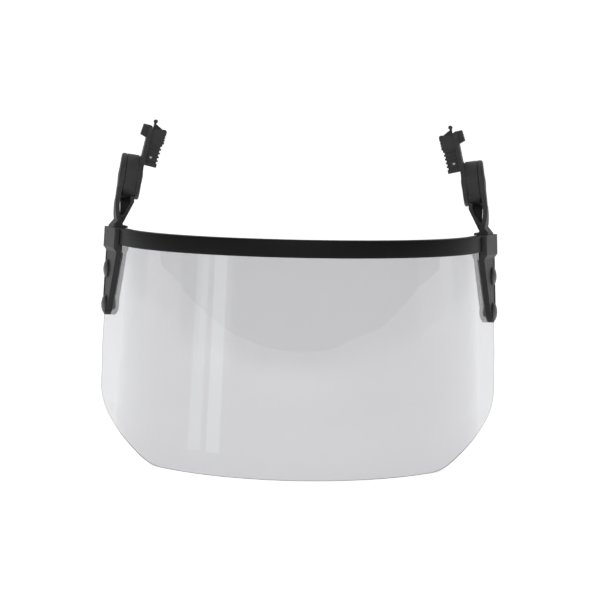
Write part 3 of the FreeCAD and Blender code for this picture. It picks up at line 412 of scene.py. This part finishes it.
# ---- snap rivets ----
# Two low-domed black nylon rivets go through each leg, the lens and the strip. Snap caps of
# natural nylon close them on the inside.
# The rivets' third colour is their painted edge highlight.
rivet_nylon = moulded_nylon("smooth_black_nylon", ("1a1a1b", "202021", "3a3a3b"), 0.38, 0.4)
for side in SIDES:
    show_moulded(side + "_upper_rivet", rivet_nylon, "visor", "rivet_plastic")
    show_moulded(side + "_lower_rivet", rivet_nylon, "visor", "rivet_plastic")
    show_moulded(side + "_rivet_caps", natural_nylon, "visor", "natural_nylon")


# ---- arms ----
# A moulded nylon arm plugs into each bracket and carries a disc with the pivot journal. A
# crowned cap closes the nut's seat in its outer face.
for side in SIDES:
    show_moulded(side + "_pivot_arm", black_nylon, "visor", "black_nylon")
    show_moulded(side + "_arm_cap", black_nylon, "visor", "black_nylon")


# ---- slot clips ----
# Each clip is a moulded nylon drum that turns on the arm's journal, with a blade that slides
# up into the accessory slot of a helmet until its catch holds. A hollow ribbed grip sits
# on the inner face of the blade, and a sprung latch is pinned inside it.
for side in SIDES:
    show_moulded(side + "_slot_clip", black_nylon, side + "_clip", "black_nylon")
    show_moulded(side + "_grip_block", black_nylon, side + "_clip", "black_nylon")
    show_moulded(side + "_release_latch", black_nylon, side + "_latch", "black_nylon")


# ---- pivot hardware, springs and pins ----
# A zinc-plated socket screw, washer and nut hold each drum on its journal. Drawn-wire springs
# press a ball into the moulded detent ring and swing the latch on its steel pin.
def bright_steel(name, colours, roughness):
    """Zinc-plated or drawn steel: a pale metal with a slightly mottled, satin shine."""
    SPANGLE = 1 / (1.2 * MM)       # crystals and draw marks, drawn coarser than real ones
    material, tree, shader = new_material(name, Metallic=1.0)
    place = add_node(tree, "TexCoord").outputs["Object"]
    mottle = add_node(tree, "TexNoise", inputs={"Vector": place, "Scale": SPANGLE, "Detail": 3.0})
    tint = add_node(tree, "MixRGB", inputs={
        "Fac": mottle.outputs["Fac"], "Color1": linear(colours[0]), "Color2": linear(colours[1])})
    tree.links.new(tint.outputs["Color"], shader.inputs["Base Color"])
    rough = add_node(tree, "MapRange", inputs={
        "Value": mottle.outputs["Fac"], "To Min": roughness - 0.06, "To Max": roughness + 0.08})
    tree.links.new(rough.outputs["Result"], shader.inputs["Roughness"])
    return material


zinc = bright_steel("zinc_plated_steel", ("b4b6b6", "c8cac8"), 0.3)
spring_steel = bright_steel("drawn_spring_steel", ("8c8e90", "a2a4a6"), 0.25)
for side in SIDES:
    for name, material in (("pivot_screw", zinc), ("pivot_nut", zinc), ("pivot_washer", zinc),
                           ("latch_pin", zinc), ("detent_ball", zinc),
                           ("detent_spring", spring_steel), ("latch_spring", spring_steel),
                           ("detent_ring", black_nylon)):
        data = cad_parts[side + "_" + name].data
        data.materials.clear()
        data.materials.append(material)


# ---- floor, light and camera ----
# The shield stands on pale seamless paper that sweeps up behind it, under a soft overhead
# light, with a high front light and tall lights at the sides.
scene = bpy.context.scene
scene.view_settings.view_transform = "Standard"


def backdrop_grid():
    """Floor, a quarter turn and a wall as one strip, the same across its width."""
    steps, radius, depth, height, front, width = 17, 1.2, 2.2, 4.0, -4.0, 20.0
    turn = np.linspace(0, np.pi / 2, steps)
    y = np.concatenate([[front], depth + radius * np.sin(turn), [depth + radius]])
    z = np.concatenate([[0], radius * (1 - np.cos(turn)), [height]])
    x = np.array([-width, width])
    return np.stack(np.broadcast_arrays(x[:, None], y[None, :], z[None, :]), -1)


def studio_paper():
    """Matt white background paper with a barely visible tooth. It glows a little, as paper lit
    by its own lamps does."""
    TOOTH = 1 / (3 * MM)           # drawn coarser than the real tooth
    material, tree, shader = new_material("white_paper", Roughness=0.9)
    place = add_node(tree, "TexCoord").outputs["Object"]
    tooth = add_node(tree, "TexNoise", inputs={"Vector": place, "Scale": TOOTH})
    tint = add_node(tree, "MixRGB", inputs={
        "Fac": tooth.outputs["Fac"], "Color1": linear("f6f6f6"), "Color2": linear("fbfbfb")})
    tree.links.new(tint.outputs["Color"], shader.inputs["Base Color"])
    shader.inputs["Emission Color"].default_value = (1, 1, 1, 1)
    shader.inputs["Emission Strength"].default_value = 0.4
    return material


backdrop = bpy.data.objects.new("backdrop", grid_mesh("backdrop", backdrop_grid()))
scene.collection.objects.link(backdrop)
backdrop.data.materials.append(studio_paper())

world = bpy.data.worlds.new("studio")
world.use_nodes = True
world.node_tree.nodes["Background"].inputs["Color"].default_value = (1, 1, 1, 1)
world.node_tree.nodes["Background"].inputs["Strength"].default_value = 0.12
scene.world = world


def soft_light(name, place, aim, size, radiance, colour=(1, 1, 1)):
    """Rectangular softbox at a place, facing the aim point, as bright all over as radiance
    says."""
    data = bpy.data.lights.new(name, "AREA")
    data.shape = "RECTANGLE"
    data.size, data.size_y = size
    data.energy = radiance * np.pi * size[0] * size[1]
    data.color = colour
    light = bpy.data.objects.new(name, data)
    scene.collection.objects.link(light)
    turn = (Vector(aim) - Vector(place)).to_track_quat("-Z", "Y").to_matrix().to_4x4()
    light.matrix_world = Matrix.Translation(place) @ turn
    light.visible_camera = False
    return light


middle = (0, 0, 0.12)
soft_light("overhead", (0, 0.6, 2.6), (0, 0.4, 0), (4.0, 4.0), 0.92)
soft_light("front_high", (0, -2.2, 1.2), middle, (1.8, 0.7), 4.5)

# The tall lights brighten the shield but stay out of its reflections.
TALL_HEIGHT = 2.0
TALL_MIDDLE = 0.75
for name, x, y, width, radiance in (("tall_left", -1.75, -1.35, 0.9, 1.3),
                                    ("side_left", -2.6, 0.2, 1.6, 0.9),
                                    ("side_right", 2.6, 0.2, 1.6, 0.9)):
    tall = soft_light(name, (x, y, TALL_MIDDLE), middle, (width, TALL_HEIGHT), radiance)
    tall.visible_glossy = False

# Two narrow strips and a card at each side stand on the floor close to the lens, which mirrors
# them as upright streaks and paler side zones. Each faces the point of the lens that is swing
# degrees round its bend, from the direction in which that point mirrors the front.
DAYLIGHT = (0.88, 0.95, 1)
NEAR_HEIGHT = 0.168
NEAR_MIDDLE = 0.085
for name, swing, away, width, radiance in (("strip_near", -24.6, 0.15, 0.032, 0.9),
                                           ("strip_far", -30.8, 0.15, 0.031, 0.65),
                                           ("card_left", -62, 0.25, 0.3, 0.08),
                                           ("card_right", 62, 0.25, 0.3, 0.08)):
    bearing = radians(2 * swing)
    spot = Vector(plan_points(np.array(radians(swing) * LENS_RADIUS), 0, NEAR_MIDDLE))
    out = Vector((np.sin(bearing), -np.cos(bearing), 0))
    soft_light(name, spot + out * away, spot, (width, NEAR_HEIGHT), radiance, DAYLIGHT)

camera_data = bpy.data.cameras.new("camera")
camera_data.sensor_width = 36
camera_data.lens = 94.35         # both in millimetres of film
camera = bpy.data.objects.new("camera", camera_data)
scene.collection.objects.link(camera)
CAMERA_PLACE = (0, -1.1526, 0.2289)
CAMERA_TURN = radians(-0.022)    # to one side
CAMERA_PITCH = radians(84.537)   # up from straight down
CAMERA_ROLL = radians(1.2)
camera.matrix_world = (Matrix.Translation(CAMERA_PLACE)
                       @ Matrix.Rotation(CAMERA_TURN, 4, "Z")
                       @ Matrix.Rotation(CAMERA_PITCH, 4, "X")
                       @ Matrix.Rotation(CAMERA_ROLL, 4, "Z"))
scene.camera = camera
